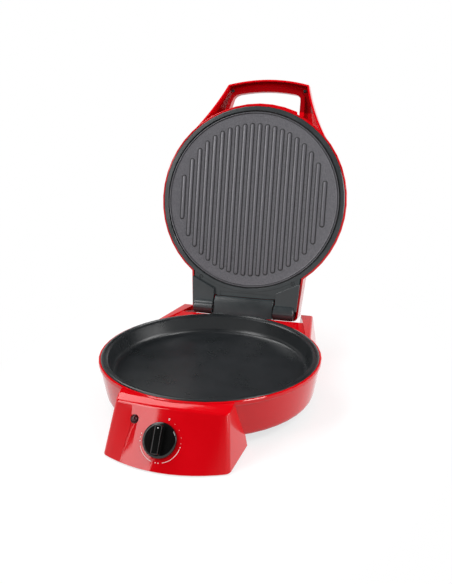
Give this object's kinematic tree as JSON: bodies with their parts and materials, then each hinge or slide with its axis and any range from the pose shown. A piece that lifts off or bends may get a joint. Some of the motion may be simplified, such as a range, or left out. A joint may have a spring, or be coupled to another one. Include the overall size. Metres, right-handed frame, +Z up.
{
  "type": "electric pizza maker",
  "caption": "Round countertop electric cooker with a deep lower plate, a hinged lid with a ribbed upper plate and carrying handle, and a front control knob.",
  "frame": {"origin": "on the table under the middle of the machine with its lid open", "axes": "+Z up, the control panel faces -Y, +X to the right of a user who stands in front"},
  "size_m": [0.326, 0.5996, 0.4532],
  "materials": {
    "black_gloss_plastic": "glossy",
    "black_plastic": "satin",
    "dark_coated_metal": "non-stick coated, satin",
    "element_sheath": "dull oxidised",
    "grey_coated_metal": "non-stick coated, speckled satin",
    "lens": "clear dark red",
    "red_gloss_plastic": "glossy",
    "rubber": "matte",
    "sheet_steel": "bright sheet",
    "steel": "zinc plated",
    "white_ceramic": "white moulding"
  },
  "bodies": {
    "base": {"indicator_lens": "lens", "indicator_lamp": "white_ceramic", "base_housing": "red_gloss_plastic", "lower_plate": "dark_coated_metal", "lower_heating_element": "element_sheath", "lower_reflector": "sheet_steel", "belly_cover": "black_plastic", "front_cover": "black_plastic", "rear_cover": "black_plastic", "hinge_block": "black_plastic", "cord_gland": "black_plastic", "foot_front_left": "rubber", "foot_front_right": "rubber", "foot_rear_left": "rubber", "foot_rear_right": "rubber", "belly_screw_1": "steel", "belly_screw_2": "steel", "belly_screw_3": "steel", "cover_screw_1": "steel", "cover_screw_2": "steel", "cover_screw_3": "steel", "cover_screw_4": "steel", "lower_tie_screw_1": "steel", "lower_tie_screw_2": "steel", "lower_tie_screw_3": "steel", "hinge_block_screw_1": "steel", "hinge_block_screw_2": "steel", "hinge_pin": "steel", "terminal_block": "white_ceramic", "thermostat_body": "white_ceramic"},
    "knob": {"knob": "black_gloss_plastic", "thermostat_shaft": "steel"},
    "lid": {"lid_shell": "red_gloss_plastic", "handle_top_cover": "red_gloss_plastic", "lid_frame": "black_plastic", "hinge_cover_left": "black_plastic", "hinge_cover_right": "black_plastic", "upper_plate": "grey_coated_metal", "upper_heating_element": "element_sheath", "upper_reflector": "sheet_steel", "thermal_cutout": "white_ceramic", "upper_tie_screw_1": "steel", "upper_tie_screw_2": "steel", "upper_tie_screw_3": "steel", "plate_screw_1": "steel", "plate_screw_2": "steel", "plate_screw_3": "steel", "frame_screw_left": "steel", "frame_screw_right": "steel", "handle_screw_left": "steel", "handle_screw_right": "steel"}
  },
  "joints": [
    {"name": "lid_hinge", "type": "hinge", "parent": "base", "child": "lid", "pos_m": [0, 0.10975, 0.0699], "axis": [1, 0, 0], "range_deg": [0, 103.3]},
    {"name": "knob_turn", "type": "hinge", "parent": "base", "child": "knob", "pos_m": [-0.0048, -0.27687, 0.034], "axis": [0, 0.8321, -0.5547], "range_deg": [0, 270]}
  ]
}
